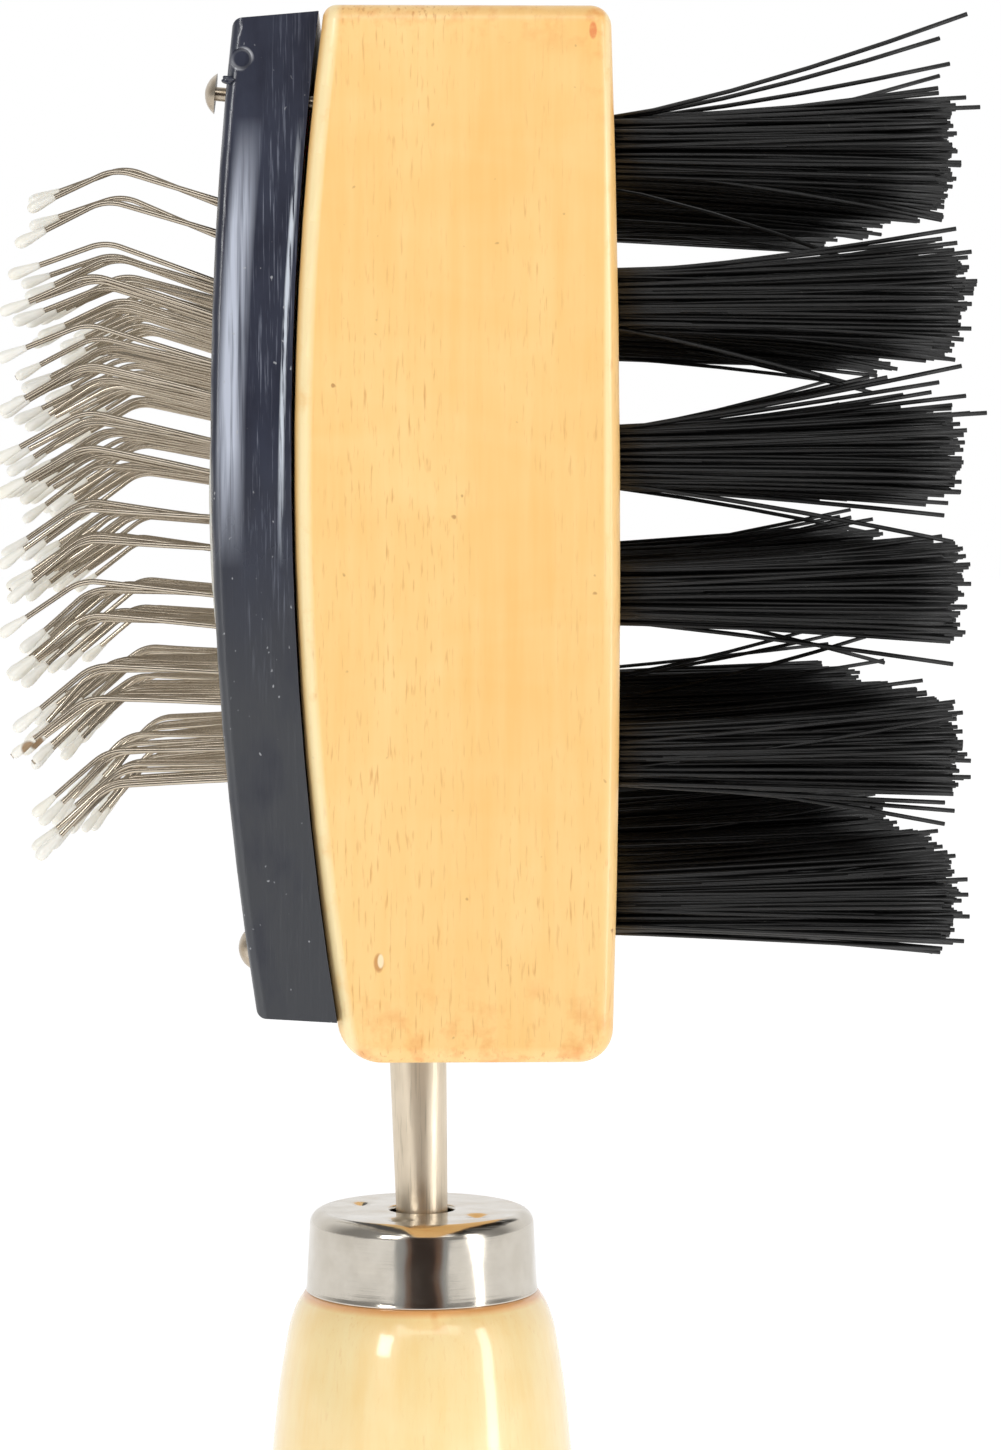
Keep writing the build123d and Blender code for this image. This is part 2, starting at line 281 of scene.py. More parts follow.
def pale_wood(name, light, dark, fleck, fleck_amount, **fixed):
    """Pale wood with its grain along Z: broad figure, fine pores and short dark flecks."""
    finish = Finish(name, **fixed)
    broad = finish.noise(finish.place((0.16, 0.16, 0.05)), 1.0, 3.0, 0.55, 0.6)
    streak = finish.noise(finish.place((1.1, 1.1, 0.06)), 1.0, 4.0, 0.6)
    figure = finish.noise(finish.place((0.09, 0.3, 0.22), (3.0, 1.0, 5.0)), 1.0, 2.0, 0.5, 1.4)
    tone = finish.rise(broad * 0.45 + streak * 0.35 + figure * 0.2, 0.36, 0.64)
    colour = finish.mix(tone, dark, light)
    pores = finish.noise(finish.place((5.5, 5.5, 0.55)), 1.0, 2.0, 0.55)
    marks = finish.rise(pores, 0.58, 0.74) * finish.rise(broad, 0.35, 0.6)
    colour = finish.mix(marks * fleck_amount, colour, fleck)
    return finish, colour, pores


def wood_block_finish():
    finish, colour, pores = pale_wood(
        "block_wood", paint(251, 210, 142), paint(246, 196, 120), paint(196, 128, 62), 0.6,
        Coat_Weight=0.35, Coat_Roughness=0.16,
    )
    height = finish.axis(2)
    low, high = block_low.z / mm, block_high.z / mm
    blot = finish.noise(finish.place((0.5, 0.5, 0.5)), 1.0, 4.0, 0.6)
    end_stain = finish.rise(height, low + 6.0, low + 0.3) + finish.rise(height, high - 3.0, high)
    bristle_side = finish.rise(finish.axis(0), 8.5, 10.5)
    end_stain = end_stain + finish.rise(height, high - 9.0, high - 2.0) * bristle_side
    stain = end_stain * finish.rise(blot, 0.5, 0.72)
    colour = finish.mix(stain * 0.75, colour, paint(228, 140, 62))
    speck = finish.noise(finish.place((1.6, 1.6, 1.6), (7.0, 2.0, 4.0)), 1.0, 1.0, 0.4)
    colour = finish.mix(finish.rise(speck, 0.76, 0.82) * 0.6, colour, paint(150, 92, 40))
    near_end = finish.rise(finish.axis(1), block_low.y / mm + 1.5, block_low.y / mm + 1.0)
    # A small dent drawn only in colour: a painted highlight in its middle, ringed with brown.
    dent_highlight = finish.spot(-2.67, low + 6.0, 0.2, 0.46) * near_end
    dent_rim = finish.spot(-2.78, low + 5.9, 0.32, 0.62) * near_end
    colour = finish.mix(dent_rim * 0.75, colour, paint(190, 128, 70))
    colour = finish.mix(dent_highlight * 0.85, colour, paint(255, 236, 196))
    scuff = finish.spot(9.5, high - 1.5, 0.25, 0.55) * near_end * finish.rise(blot, 0.35, 0.5)
    colour = finish.mix(scuff * 0.6, colour, paint(222, 96, 52))
    # Painted highlights: a pale band along the rounded edge by the pin face, following the crown,
    # and a thin pale line near the bristle-side edge, where those roundings catch the light.
    crown_rise, pin_face = 3.3, -7.6
    from_crown = height - (low + high) / 2 - crown_rise
    from_face = finish.axis(0) - pin_face - from_crown * from_crown * (0.5 * mm / block_crown)
    edge_highlight = finish.rise(from_face, 0.1, 0.4) * finish.rise(from_face, 1.1, 0.7)
    thin_edge_highlight = finish.rise(finish.axis(0), 10.1, 10.3) * finish.rise(finish.axis(0), 10.6, 10.45)
    pale = edge_highlight * 0.75 + thin_edge_highlight * finish.rise(from_crown, -14.0, 0.0) * 0.6
    colour = finish.mix(pale * finish.rise(blot, 0.2, 0.45), colour, paint(255, 238, 186))
    finish.feed("Base Color", colour)
    finish.feed("Roughness", finish.rise(blot, 0.2, 0.9) * 0.16 + 0.34)
    wave = finish.noise(finish.place((0.35, 0.35, 0.2)), 1.0, 2.0)
    finish.bump(wave * 0.8 + pores * 0.08, 0.5, 0.12 * mm)
    return finish.material


def wear(node, material):
    """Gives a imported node's own mesh a better material."""
    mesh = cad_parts[node].data
    mesh.materials.clear()
    mesh.materials.append(material)


wear("head_block", wood_block_finish())


# ---- neck -----------------------------------------------------------------------------------
# A plated steel rod, rolled nearly square where it enters the block and drawn round towards the
# ferrule. It leans a little to the pin side, and its plating has dulled to a warm grey.


def rings(centres, u, v, radius, sides, power=2.0):
    """Rings of points round each centre, as a circle or, with a higher power, squarer."""
    angle = np.arange(sides) * (2 * math.pi / sides)
    across = np.sign(np.cos(angle)) * np.abs(np.cos(angle)) ** (2 / power)
    up = np.sign(np.sin(angle)) * np.abs(np.sin(angle)) ** (2 / power)
    span = across[:, None] * u[..., None, :] + up[:, None] * v[..., None, :]
    return centres[..., None, :] + radius[..., None, None] * span


def ring_faces(wires, stations, sides):
    """Quads along each run of rings, and one many-sided face at each of its two ends."""
    index = np.arange(wires * stations * sides).reshape(wires, stations, sides)
    near, far = index[:, :-1], index[:, 1:]
    quads = np.stack([near, np.roll(near, -1, 2), np.roll(far, -1, 2), far], -1).reshape(-1, 4)
    return [quads, index[:, 0, ::-1], index[:, -1]]


def build(name, points, faces, material, replaced=()):
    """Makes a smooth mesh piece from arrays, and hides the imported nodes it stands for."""
    corners = [face for group in faces for face in group.tolist()]
    mesh = bpy.data.meshes.new(name)
    mesh.from_pydata(points.reshape(-1, 3).tolist(), [], corners)
    mesh.shade_smooth()
    mesh.materials.append(material)
    piece = bpy.data.objects.new(name, mesh)
    bpy.context.scene.collection.objects.link(piece)
    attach(piece, "root")
    if replaced:
        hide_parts(*replaced)
    return piece


def neck_finish():
    finish = Finish("neck_steel", Metallic=1.0)
    cloud = finish.noise(finish.place((0.7, 0.7, 0.25)), 1.0, 3.0, 0.6)
    drawn = finish.noise(finish.place((6.0, 6.0, 0.25)), 1.0, 2.0, 0.5)
    tone = finish.mix(cloud, paint(232, 218, 196), paint(206, 192, 170))
    dull = finish.rise(drawn, 0.55, 0.75) * 0.35
    finish.feed("Base Color", finish.mix(dull, tone, paint(122, 112, 94)))
    finish.feed("Roughness", cloud * 0.2 + 0.3)
    finish.bump(drawn, 0.25, 0.03 * mm)
    return finish.material


def make_neck():
    """Rings whose radius and x change evenly up the rod, and whose plan goes from a circle to a
    squared circle by the way up to the power 1.5."""
    low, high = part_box("neck_rod")
    ferrule_low, ferrule_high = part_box("ferrule")
    top_radius = (high.y - low.y) / 2
    base_radius = 1.72 * mm
    lean = low.x + top_radius
    hidden_in_block = 6 * mm
    stations = 48
    z = np.linspace(ferrule_low.z, block_low.z + hidden_in_block, stations)
    t = np.clip((z - ferrule_high.z) / (block_low.z - ferrule_high.z), 0.0, 1.0)
    centres = np.stack([lean * t, np.zeros(stations), z], -1)
    radius = base_radius + (top_radius - base_radius) * t
    x_axis = np.tile([1.0, 0.0, 0.0], (stations, 1))
    y_axis = np.tile([0.0, 1.0, 0.0], (stations, 1))
    sides = 48
    round_rod = rings(centres, x_axis, y_axis, radius, sides)
    square_rod = rings(centres, x_axis, y_axis, radius, sides, 3.4)
    squareness = (t**1.5)[:, None, None]
    points = round_rod * (1 - squareness) + square_rod * squareness
    build("neck", points, ring_faces(1, stations, sides), neck_finish(), ["neck_rod"])


make_neck()


# ---- ferrule --------------------------------------------------------------------------------
# A cup drawn from thin sheet and nickel-plated bright. Its flat top has a hole for the neck and
# four shallow punch marks that lock it to the tenon, and its open lip is curled slightly out.


def spun(radius, height, sides):
    """A closed or open profile turned about Z: whole rings at each radius and height."""
    angle = np.arange(sides) * (2 * math.pi / sides)
    x = radius[:, None] * np.cos(angle)
    y = radius[:, None] * np.sin(angle)
    z = np.broadcast_to(height[:, None], x.shape)
    return np.stack([x, y, z], -1)


def corner_arc(centre, radius, start, end, steps):
    """Points of a profile round an arc, from one angle to another, in degrees."""
    angle = np.radians(np.linspace(start, end, steps))
    return np.stack([centre[0] + radius * np.cos(angle), centre[1] + radius * np.sin(angle)], -1)


def nickel_finish():
    finish = Finish("bright_nickel", Metallic=1.0)
    haze = finish.noise(finish.place((0.5, 0.5, 0.5)), 1.0, 3.0, 0.6)
    lathe = finish.noise(finish.place((0.15, 0.15, 7.0)), 1.0, 2.0, 0.5)
    finish.feed("Base Color", finish.mix(haze, paint(214, 208, 198), paint(188, 180, 166)))
    finish.feed("Roughness", finish.rise(haze, 0.3, 0.8) * 0.12 + lathe * 0.05 + 0.09)
    wave = finish.noise(finish.place((0.28, 0.28, 0.2)), 1.0, 1.0)
    finish.bump(wave + lathe * 0.02, 0.55, 0.4 * mm)
    return finish.material


def make_ferrule():
    """A closed profile turned about Z. Each punch mark lowers the flat by its depth times a bell
    curve of the distance from the mark."""
    low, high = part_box("ferrule")
    lip = (high.x - low.x) / 2
    top_radius = lip - 0.26 * mm
    shoulder = 0.95 * mm
    wall = 0.4 * mm
    hole = 2.1 * mm
    lip_curl = 0.14 * mm
    dent_place, dent_radius, dent_depth = 4.6 * mm, 0.6 * mm, 0.22 * mm
    base, top = low.z, high.z
    curl = corner_arc((lip - lip_curl, base + lip_curl), lip_curl, -90, 30, 6)
    side = np.linspace(curl[-1] + [-0.03 * mm, 0.25 * mm], [top_radius, top - shoulder], 8)
    round_over = corner_arc((top_radius - shoulder, top - shoulder), shoulder, 4, 88, 14)
    flat = np.linspace([top_radius - shoulder, top], [hole + 0.25 * mm, top], 22)
    rolled = corner_arc((hole + 0.25 * mm, top - 0.2 * mm), 0.2 * mm, 100, 190, 5)
    inside = np.array([
        [hole + 0.05 * mm, top - wall], [top_radius - wall, top - wall], [top_radius - wall, base],
    ])
    profile = np.concatenate([curl, side, round_over, flat, rolled, inside])
    sides = 128
    points = spun(profile[:, 0], profile[:, 1], sides)
    for turn in np.radians([-108.0, -38.0, 82.0, 152.0]):
        spot = np.array([math.cos(turn), math.sin(turn)]) * dent_place
        away = np.hypot(points[..., 0] - spot[0], points[..., 1] - spot[1])
        on_top = points[..., 2] > top - 0.05 * mm
        points[..., 2] -= on_top * dent_depth * np.exp(-((away / dent_radius) ** 2))
    count = len(profile)
    index = np.arange(count * sides).reshape(count, sides)
    after = np.roll(index, -1, 0)
    quads = np.stack([index, np.roll(index, -1, 1), np.roll(after, -1, 1), after], -1)
    faces = [quads.reshape(-1, 4)]
    build("ferrule_cup", points, faces, nickel_finish(), ["ferrule"])


make_ferrule()


# ---- handle ---------------------------------------------------------------------------------
# Turned from the same pale wood, sanded and given several coats of clear gloss lacquer, which
# rounds over its shoulder. A belly under the ferrule, a waist, and a swell for the palm.


def eased(at, places, values):
    """A smooth curve through given values: cubic steps with slopes from the neighbours."""
    places, values = np.asarray(places), np.asarray(values)
    slopes = np.gradient(values, places)
    turning = np.zeros(len(values), bool)
    turning[1:-1] = np.diff(values)[1:] * np.diff(values)[:-1] <= 0
    slopes[turning] = 0.0
    i = np.clip(np.searchsorted(places, at) - 1, 0, len(places) - 2)
    width = places[i + 1] - places[i]
    t = (at - places[i]) / width
    rise = values[i] * (2 * t**3 - 3 * t**2 + 1) + values[i + 1] * (3 * t**2 - 2 * t**3)
    return rise + width * (slopes[i] * (t**3 - 2 * t**2 + t) + slopes[i + 1] * (t**3 - t**2))


def lacquered_finish(shoulder_z):
    finish, colour, pores = pale_wood(
        "lacquered_wood", paint(253, 232, 176), paint(250, 218, 150), paint(228, 172, 100), 0.22,
        Coat_Weight=1.0, Coat_Roughness=0.1,
    )
    below = shoulder_z / mm - finish.axis(2)
    drip = finish.noise(finish.place((0.35, 0.35, 0.1)), 1.0, 2.0)
    rim_seep = finish.rise(below, 0.5, 0.15) * 0.6
    seep = rim_seep + finish.rise(below, 1.5, 0.4) * finish.rise(drip, 0.62, 0.72)
    finish.feed("Base Color", finish.mix(seep, colour, paint(232, 140, 58)))
    finish.feed("Roughness", pores * 0.1 + 0.3)
    wave = finish.noise(finish.place((0.22, 0.22, 0.12)), 1.0, 2.0)
    finish.bump(wave, 0.35, 0.25 * mm)
    return finish.material


def make_handle():
    """A smooth curve of radius against depth below the ferrule, closed by a quarter of an
    ellipse at the foot, and turned about Z."""
    low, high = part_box("handle")
    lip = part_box("ferrule")[0].z
    belly = (high.x - low.x) / 2
    below = np.array([0.0, 0.7, 1.5, 4.2, 10.6, 24.0, 54.0, 86.0, 94.0, 100.0]) * mm
    radius = np.array([7.75, 8.25, 8.6, 9.2, 10.0, 10.8, 9.1, 10.6, 9.75, 7.6]) * mm
    depth = np.concatenate([np.linspace(0.0, 4 * mm, 14), np.linspace(4.6 * mm, 100 * mm, 80)])
    side_radius = np.minimum(eased(depth, below, radius), belly)
    foot_flat = 4.0 * mm
    foot_top = lip - depth[-1]
    foot_angle = np.radians(np.linspace(8, 90, 12))
    foot_radius = foot_flat + (radius[-1] - foot_flat) * np.cos(foot_angle)
    foot_height = foot_top - (foot_top - low.z) * np.sin(foot_angle)
    centre = [0.2 * mm]
    tenon_radius = [7.0 * mm, 6.9 * mm]
    tenon_height = [lip, lip + 2.0 * mm]
    profile_radius = np.concatenate([centre, foot_radius[::-1], side_radius[::-1], tenon_radius])
    profile_height = np.concatenate([[low.z], foot_height[::-1], lip - depth[::-1], tenon_height])
    sides = 160
    points = spun(profile_radius, profile_height, sides)
    faces = ring_faces(1, len(profile_radius), sides)
    build("turned_handle", points, faces, lacquered_finish(lip), ["handle"])


make_handle()


# ---- bristle tufts --------------------------------------------------------------------------
# Black nylon filament, cut to length, folded and driven into the block's holes by a flat wire
# anchor. Each tuft leaves its hole tight and round and fans out to a ragged end, with a few
# filaments bent well away.
filament_radius = 0.13 * mm
filaments_per_tuft = 150
filament_stations = 6
filament_sides = 4
tuft_columns = 9
tuft_root = 1.72 * mm
stray_share = 0.03
# the filaments bent out of each row's near tuft: end x, and end z from the row's middle, in mm
strays = {
    1: [(31.2, 7.5), (30.0, 6.4), (30.7, 5.0), (29.9, 3.5), (31.6, 3.0), (32.2, 2.3)],
    2: [(30.9, 4.1), (29.8, 3.4), (31.0, -3.5), (22.9, -4.5)],
    3: [(31.1, 5.3), (30.1, 4.4), (31.6, 3.6), (32.8, 2.6), (30.6, -4.9)],
    4: [(30.9, -4.1), (30.2, 3.4)],
    5: [(30.8, 3.2), (31.0, -3.3)],
    6: [(30.4, -3.1), (31.3, 2.6)],
}


def tubes(paths, radius, sides):
    """Rings carried along many paths at once, an array of wire by station by x, y, z."""
    along = np.gradient(paths, axis=1)
    along /= np.linalg.norm(along, axis=-1, keepdims=True)
    mostly_vertical = np.abs(along[..., 2:3]) > 0.95
    guide = np.where(mostly_vertical, [0.0, 1.0, 0.0], [0.0, 0.0, 1.0])
    v = guide - along * np.sum(guide * along, -1, keepdims=True)
    v /= np.linalg.norm(v, axis=-1, keepdims=True)
    u = np.cross(v, along)
    return rings(paths, u, v, np.broadcast_to(radius, paths.shape[:2]), sides)


def bristle_finish():
    finish = Finish("black_nylon", Roughness=0.42, Specular_IOR_Level=0.45)
    cloud = finish.noise(finish.place((0.2, 0.9, 0.9)), 1.0, 3.0, 0.6)
    dust = finish.noise(finish.place((2.2, 2.2, 2.2)), 1.0, 2.0, 0.6)
    colour = finish.mix(cloud, paint(12, 12, 12), paint(25, 25, 25))
    dusty = finish.rise(dust, 0.72, 0.8) * 0.5
    finish.feed("Base Color", finish.mix(dusty, colour, paint(86, 84, 80)))
    finish.feed("Roughness", dust * 0.2 + 0.32)
    return finish.material


def make_bristle_row(number, material):
    """Each filament goes from its place in the hole to that place spread out to the fan, by the
    way along to the power 1.35, plus a bow that is a parabola, nothing at both ends."""
    low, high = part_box(f"bristle_row_{number}")
    chance = np.random.default_rng(40 + number)
    fan = (high.z - low.z) / 2
    centre_z = (high.z + low.z) / 2
    columns = np.linspace(low.y + fan, high.y - fan, tuft_columns)
    count = tuft_columns * filaments_per_tuft
    tuft = np.repeat(np.arange(tuft_columns), filaments_per_tuft)
    spot = chance.uniform(0, 2 * math.pi, count)
    out = np.sqrt(chance.uniform(0, 1, count))
    root = np.stack([out * np.cos(spot), out * np.sin(spot)], -1) * tuft_root
    flare = root * (fan * 0.93 / tuft_root) * chance.uniform(0.75, 1.06, (count, 1))
    sweep = chance.normal(0, 0.3 * mm, (tuft_columns, 2))[tuft]
    flare = flare + sweep + chance.normal(0, 0.28 * mm, (count, 2))
    stray = (chance.uniform(0, 1, count) < stray_share)[:, None]
    flare = flare + stray * chance.normal(0, 1.9 * mm, (count, 2))
    start_x = block_high.x - 2.4 * mm
    tuft_end = high.x - 0.5 * mm + chance.normal(0, 0.3 * mm, tuft_columns)[tuft]
    end_x = tuft_end + chance.normal(0, 0.42 * mm, count) - 0.04 * np.abs(flare).sum(-1)
    end_x = np.minimum(end_x, high.x + 0.8 * mm)
    bent = np.array(strays[number]) * mm
    end_x[: len(bent)] = bent[:, 0]
    flare[: len(bent), 1] = bent[:, 1]
    root[: len(bent), 1] = np.sign(bent[:, 1]) * tuft_root * 0.8
    root[: len(bent), 0] *= 0.5
    t = np.linspace(0, 1, filament_stations)[None, :, None]
    bow = chance.normal(0, 0.35 * mm, (count, 1, 2)) * t * (1 - t)
    across = root[:, None] + (flare - root)[:, None] * t**1.35 + bow
    x = start_x + (end_x - start_x)[:, None, None] * t
    y = columns[tuft][:, None, None] + across[..., :1]
    z = centre_z + across[..., 1:]
    paths = np.concatenate([x, y, z], -1)
    points = tubes(paths, filament_radius, filament_sides)
    faces = ring_faces(count, filament_stations, filament_sides)
    replaced = [f"bristle_row_{number}"]
    build(f"nylon_row_{number}", points, faces, material, replaced)


nylon = bristle_finish()
for number in range(1, 7):
    make_bristle_row(number, nylon)


# ---- tuft anchors ---------------------------------------------------------------------------
# Short pieces of flat steel wire, one across the floor of each tuft's hole. They are out of
# sight inside the block.


def anchor_finish():
    finish = Finish("anchor_wire", Metallic=1.0)
    grime = finish.noise(finish.place(), 2.0, 3.0)
    finish.feed("Base Color", finish.mix(grime, paint(190, 188, 182), paint(120, 112, 100)))
    finish.feed("Roughness", grime * 0.3 + 0.25)
    return finish.material


anchors = anchor_finish()
for number in range(1, 7):
    wear(f"tuft_anchors_{number}", anchors)


# ---- pad frame ------------------------------------------------------------------------------
# Moulded in black plastic with a trace of blue, its outer edges rounded over. Handling has
# scratched it up and down and dulled its lower end. A painted highlight streaks down its ends,
# with a thin bright line behind, and two crescents of painted highlight lie round the mark
# near the top.
frame_crown = 212 * mm
frame_depth = 4.75 * mm


def plastic_finish():
    finish = Finish("black_plastic", Specular_IOR_Level=0.6)
    low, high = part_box("pad_frame")
    top, middle_z = high.z / mm, (low.z + high.z) / 2 / mm
    height = finish.axis(2)
    from_crown = height - middle_z - 1.0
    depth = finish.axis(0) - from_crown * from_crown * (0.5 * mm / frame_crown) - low.x / mm
    patch = finish.noise(finish.place((0.25, 0.25, 0.12)), 1.0, 4.0, 0.6)
    fine = finish.noise(finish.place((9.0, 9.0, 0.16)), 1.0, 3.0, 0.65)
    highlight_breakup = finish.noise(finish.place((3.0, 3.0, 0.05), (4.0, 0.0, 2.0)), 1.0, 3.0, 0.6)
    lower = finish.rise(height + patch * 12.0, middle_z + 12.0, middle_z - 4.0)
    ends = finish.rise(height, top - 6.0, top - 12.0)
    ends = ends * finish.rise(height, middle_z - 2.0, middle_z + 5.0)
    # Painted highlight: a bluish-white streak in a band just behind the front face, on the frame's
    # upper half, broken up by noise.
    highlight_band = finish.rise(depth, 0.25, 0.7) * finish.rise(depth, 2.0, 1.3)
    streak = highlight_band * ends * finish.rise(highlight_breakup, 0.22, 0.5)
    rear_band = finish.rise(depth, 3.85, 3.95) * finish.rise(depth, 4.25, 4.1)
    rear = rear_band * ends * finish.rise(fine, 0.4, 0.5)
    rubbed = finish.rise(depth, 1.6, 2.4) * finish.rise(patch, 0.3, 0.6)
    scratches = finish.rise(fine, 0.55, 0.75) * rubbed
    colour = finish.mix(finish.rise(patch, 0.3, 0.7), paint(36, 38, 50), paint(58, 62, 76))
    colour = finish.mix(lower * finish.rise(patch, 0.2, 0.5), colour, paint(64, 66, 70))
    colour = finish.mix(scratches * (1 - lower) * 0.6, colour, paint(150, 156, 172))
    colour = finish.mix(streak * 0.95, colour, paint(190, 196, 210))
    colour = finish.mix(rear * 0.9, colour, paint(205, 212, 222))
    near_side = finish.rise(finish.axis(1), low.y / mm + 1.5, low.y / mm + 1.0)
    mark_x, mark_z = low.x / mm + 1.86, top - 2.72
    # Painted highlights: two pale crescents of a ring round the moulding mark near the top, on the
    # near end only.
    ring = finish.spot(mark_x, mark_z, 0.74, 0.74) * (1 - finish.spot(mark_x, mark_z, 0.58, 0.58))
    turned = abs(finish.axis(0) - mark_x - finish.axis(2) + mark_z)
    ring = ring * finish.rise(turned, 0.85, 0.35) * near_side
    colour = finish.mix(ring, colour, paint(236, 238, 242))
    speck = finish.noise(finish.place((3.0, 3.0, 2.2), (9.0, 3.0, 1.0)), 1.0, 1.0, 0.4)
    colour = finish.mix(finish.rise(speck, 0.76, 0.8) * 0.7, colour, paint(170, 172, 176))
    finish.feed("Base Color", colour)
    finish.feed("Roughness", lower * 0.15 + scratches * 0.2 + 0.22)
    finish.bump(fine * 0.5 + patch, 0.4, 0.05 * mm)
    return finish.material


def make_burr(material):
    """A torn blob of moulding flash, as a lumpy ball half sunk in the frame's front edge."""
    sides = 20
    angle = np.radians(np.linspace(4, 176, 14))
    ball = spun(np.sin(angle), -np.cos(angle), sides)
    lumps = 1 + 0.16 * np.sin(3.1 * ball[..., :1] + 5 * ball[..., 2:])
    lumps = lumps + 0.1 * np.sin(9 * ball[..., 1:2])
    low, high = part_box("pad_frame")
    centre = np.array([low.x + 1.1 * mm, low.y + 1.2 * mm, high.z - 3.9 * mm])
    points = ball * lumps * np.array([0.38, 0.36, 0.23]) * mm + centre
    build("frame_burr", points, ring_faces(1, len(angle), sides), material)


black_plastic = plastic_finish()
wear("pad_frame", black_plastic)
make_burr(black_plastic)


# ---- nails ----------------------------------------------------------------------------------
# Dome-head tacks of steel with a thin nickel wash, gone warm and brown where it has rubbed. One
# stands proud of the frame because it was never driven home.


def nail_finish():
    finish = Finish("washed_nails", Metallic=1.0)
    tarnish = finish.noise(finish.place((1.5, 1.5, 1.5)), 1.0, 4.0, 0.6)
    finish.feed("Base Color", finish.mix(tarnish, paint(206, 198, 186), paint(150, 128, 96)))
    finish.feed("Roughness", tarnish * 0.25 + 0.15)
    finish.bump(tarnish, 0.3, 0.04 * mm)
    return finish.material


wear("frame_nails", nail_finish())


# ---- cushion --------------------------------------------------------------------------------
# The pad's ivory face is a rubberised sheet over cloth and foam. It bulges through the frame's
# window with its skirt held under the frame's lip, and dimples where each staple pierces it.

# the seat: where frame and pad sit on the block's crown, tipped to lie on it, and skewed,
# because the frame was nailed on a little out of true
seat_spot = np.array([-7.573, 0.0, (block_low.z + block_high.z) / 2 / mm + 0.2]) * mm
seat_skew, seat_tilt = math.radians(-1.2), math.radians(-0.931)
pad_radius, pad_crown, side_fall = 78.0 * mm, 5.5 * mm, 0.5 * mm
window_half = np.array([34.7, 24.0]) * mm
window_corner = 4.0 * mm
pin_rows, pin_columns, top_row_columns = 8, 14, 2
pin_row_pitch, pin_column_pitch, pin_field = 4.56 * mm, 5.0 * mm, 1.7 * mm
pin_spread = 1.8 * mm
dimple_depth, dimple_radius = 0.22 * mm, 0.55 * mm
soft_scale, air_pressure, sheet_stiffness, blowing_frames = 20.0, 5.0, 25.0, 20
most_blown = 0.45 * mm


def bulge(height, radius):
    """How far an arc falls back from its crown: the radius less the root of the radius squared
    less the height squared."""
    return radius - np.sqrt(radius**2 - height**2)


def on_seat(points):
    """From the seat's own axes to the brush's: tipped about Y, turned about X, then moved."""
    sin_t, cos_t = math.sin(seat_tilt), math.cos(seat_tilt)
    sin_s, cos_s = math.sin(seat_skew), math.cos(seat_skew)
    tilt = np.array([[cos_t, 0, sin_t], [0, 1, 0], [-sin_t, 0, cos_t]])
    skew = np.array([[1, 0, 0], [0, cos_s, -sin_s], [0, sin_s, cos_s]])
    return points @ (skew @ tilt).T + seat_spot


def pad_face(y, z):
    """The pad's x: an arc in z, falling back by the cube of the way out to each end in y."""
    return bulge(z, pad_radius) - pad_crown + side_fall * np.abs(y / window_half[0]) ** 3


def staple_lines():
    """Where staples stand: y of each column, z of each row, in the seat's axes."""
    y = (np.arange(pin_columns) - (pin_columns - 1) / 2) * pin_column_pitch
    z = pin_field + ((pin_rows - 1) / 2 - np.arange(pin_rows)) * pin_row_pitch
    return y, z


def between(lines, half, parts):
    """Grid lines through the given ones and out to both edges, each gap split in parts."""
    knots = np.concatenate([[-half], np.sort(lines), [half]])
    spread = np.concatenate([knots[:-1] + np.diff(knots) * i / parts for i in range(parts)])
    return np.sort(np.append(spread, half))


def rounded_plan(y, z, half, corner):
    """Rounds a lattice's corners: past a corner's centre, a point keeps its larger step as its
    distance from that centre, instead of the diagonal."""
    over = np.stack([np.abs(y) - half[0] + corner, np.abs(z) - half[1] + corner], -1)
    inside = np.clip(over, 0, None)
    far, reach = inside.max(-1), np.hypot(inside[..., 0], inside[..., 1])
    pull = np.where((over > 0).all(-1), far / np.maximum(reach, 1e-9), 1.0)
    new_y = np.where(over[..., 0] > 0, half[0] - corner + inside[..., 0] * pull, np.abs(y))
    new_z = np.where(over[..., 1] > 0, half[1] - corner + inside[..., 1] * pull, np.abs(z))
    return np.sign(y) * new_y, np.sign(z) * new_z


def inflate(sheet, quads, held):
    """Blows a sheet up between the points that hold it, with Blender's cloth, and returns it."""
    mesh = bpy.data.meshes.new("pad_sheet")
    mesh.from_pydata((sheet * soft_scale).tolist(), [], quads.tolist())
    cloth = bpy.data.objects.new("pad_sheet", mesh)
    bpy.context.scene.collection.objects.link(cloth)
    group = cloth.vertex_groups.new(name="held")
    group.add(np.flatnonzero(held).tolist(), 1.0, "REPLACE")
    settings = cloth.modifiers.new("cloth", "CLOTH").settings
    settings.vertex_group_mass = "held"
    settings.use_pressure = True
    settings.uniform_pressure_force = air_pressure
    settings.effector_weights.gravity = 0.0
    settings.tension_stiffness = sheet_stiffness
    settings.compression_stiffness = sheet_stiffness
    settings.bending_stiffness = 0.4
    settings.quality = 6
    for step in range(1, blowing_frames + 1):
        bpy.context.scene.frame_set(step)
    settled = cloth.evaluated_get(bpy.context.evaluated_depsgraph_get()).to_mesh()
    flat = np.empty(len(sheet) * 3)
    settled.vertices.foreach_get("co", flat)
    bpy.context.scene.frame_set(1)
    bpy.data.objects.remove(cloth)
    bpy.data.meshes.remove(mesh)
    return flat.reshape(-1, 3) / soft_scale


def pad_finish():
    finish = Finish("ivory_rubber", Subsurface_Weight=0.05)
    weave = finish.noise(finish.place(), 3.2, 2.0)
    soil = finish.noise(finish.place((0.2, 0.2, 0.2)), 1.0, 4.0, 0.6)
    finish.feed("Base Color", finish.mix(soil, paint(226, 222, 212), paint(202, 198, 190)))
    finish.feed("Roughness", soil * 0.2 + 0.6)
    finish.bump(weave, 0.4, 0.05 * mm)
    return finish.material


